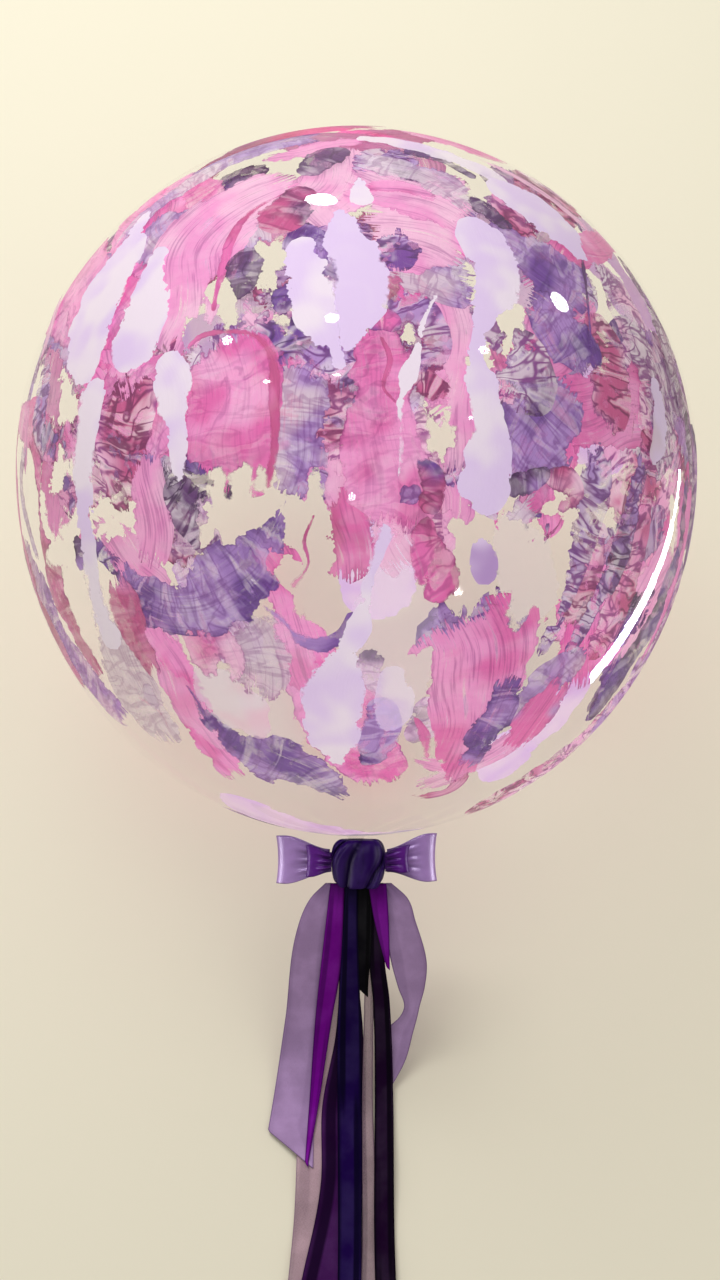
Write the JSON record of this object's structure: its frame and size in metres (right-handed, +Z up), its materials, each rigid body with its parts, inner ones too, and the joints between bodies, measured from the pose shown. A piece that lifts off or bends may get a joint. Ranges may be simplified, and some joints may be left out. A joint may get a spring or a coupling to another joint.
{
  "type": "clear bubble balloon",
  "caption": "Clear round film balloon with smeared paint, lying down, its tied neck dressed with a satin ribbon bow and loose ribbon tails.",
  "frame": {"origin": "middle of the small flat spot that the balloon lies on", "axes": "+Z up from the floor; +X to the right as the bow is seen from above and in front; the neck and the ribbon tails point towards -Y, and the neck end leans 30 degrees down"},
  "size_m": [0.56, 1.0664, 0.5618],
  "materials": {
    "clear_film": "clear glossy film with smeared paint",
    "lilac_satin": "satin",
    "violet_satin": "satin",
    "purple_satin": "satin",
    "indigo_satin": "satin",
    "navy_satin": "satin",
    "maroon_satin": "satin",
    "mauve_organza": "sheer",
    "grey_organza": "sheer"
  },
  "bodies": {
    "root": {"balloon": "clear_film", "bow_knot": "indigo_satin", "bow_loop_left": "lilac_satin", "bow_loop_right": "lilac_satin", "inner_loop_left": "violet_satin", "inner_loop_right": "violet_satin", "organza_point_left": "mauve_organza", "organza_point_right": "mauve_organza", "tail_mauve_organza": "mauve_organza", "tail_lilac_left": "lilac_satin", "tail_dark_purple": "purple_satin", "tail_violet_left": "violet_satin", "tail_grey_organza": "grey_organza", "tail_maroon": "maroon_satin", "tail_navy": "navy_satin", "tail_indigo_centre": "indigo_satin", "tail_lilac_right": "lilac_satin", "tail_violet_short": "violet_satin"}
  },
  "joints": []
}
